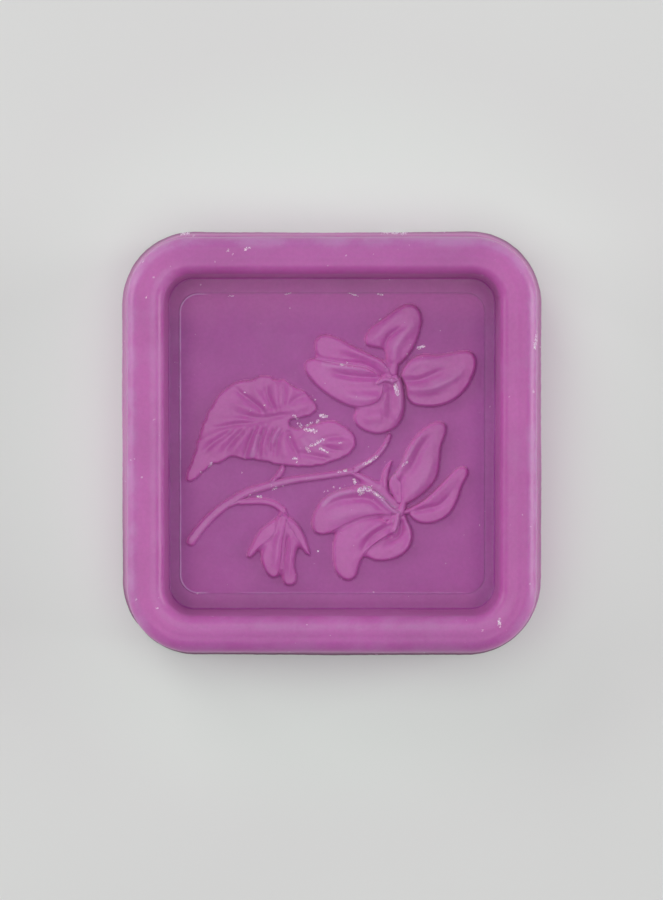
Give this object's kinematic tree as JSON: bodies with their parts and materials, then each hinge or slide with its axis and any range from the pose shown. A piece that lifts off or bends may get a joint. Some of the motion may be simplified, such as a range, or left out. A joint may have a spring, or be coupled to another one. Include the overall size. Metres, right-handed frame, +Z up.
{
  "type": "soap mould",
  "caption": "Square thick-rimmed silicone soap mould tray with a loose floor plate that carries violets in raised relief.",
  "frame": {"origin": "centre of the flat underside, where the mould stands on a table", "axes": "+Z up out of the cavity's mouth, +Y towards the top of the flower picture, +X to its right"},
  "size_m": [0.0848, 0.086, 0.022],
  "materials": {
    "tray_silicone": "satin purple silicone, slightly translucent",
    "plate_silicone": "matt purple silicone, slightly dulled by soap residue",
    "relief_silicone": "satin purple silicone, slightly translucent"
  },
  "bodies": {
    "tray": {"mould_tray": "tray_silicone"},
    "plate": {"relief_plate": "plate_silicone", "upper_stamen": "relief_silicone", "upper_petal_left": "relief_silicone", "upper_petal_upper_left": "relief_silicone", "upper_petal_top": "relief_silicone", "upper_petal_right": "relief_silicone", "upper_petal_bottom": "relief_silicone", "lower_spur": "relief_silicone", "lower_petal_left": "relief_silicone", "lower_petal_bottom_left": "relief_silicone", "lower_petal_bottom_right": "relief_silicone", "lower_petal_right": "relief_silicone", "lower_petal_top": "relief_silicone", "lower_sepal_inner": "relief_silicone", "lower_sepal_outer": "relief_silicone", "bud_sepal_left": "relief_silicone", "bud_sepal_right": "relief_silicone", "bud_petal_left": "relief_silicone", "bud_petal_right": "relief_silicone", "leaf": "relief_silicone", "main_stem": "relief_silicone", "leaf_stalk": "relief_silicone", "bud_stalk": "relief_silicone", "upper_violet_stalk": "relief_silicone", "lower_violet_stalk": "relief_silicone"}
  },
  "joints": [
    {"name": "plate_lift", "type": "slide", "parent": "tray", "child": "plate", "axis": [0, 0, 1], "range_m": [0, 0.03]}
  ]
}
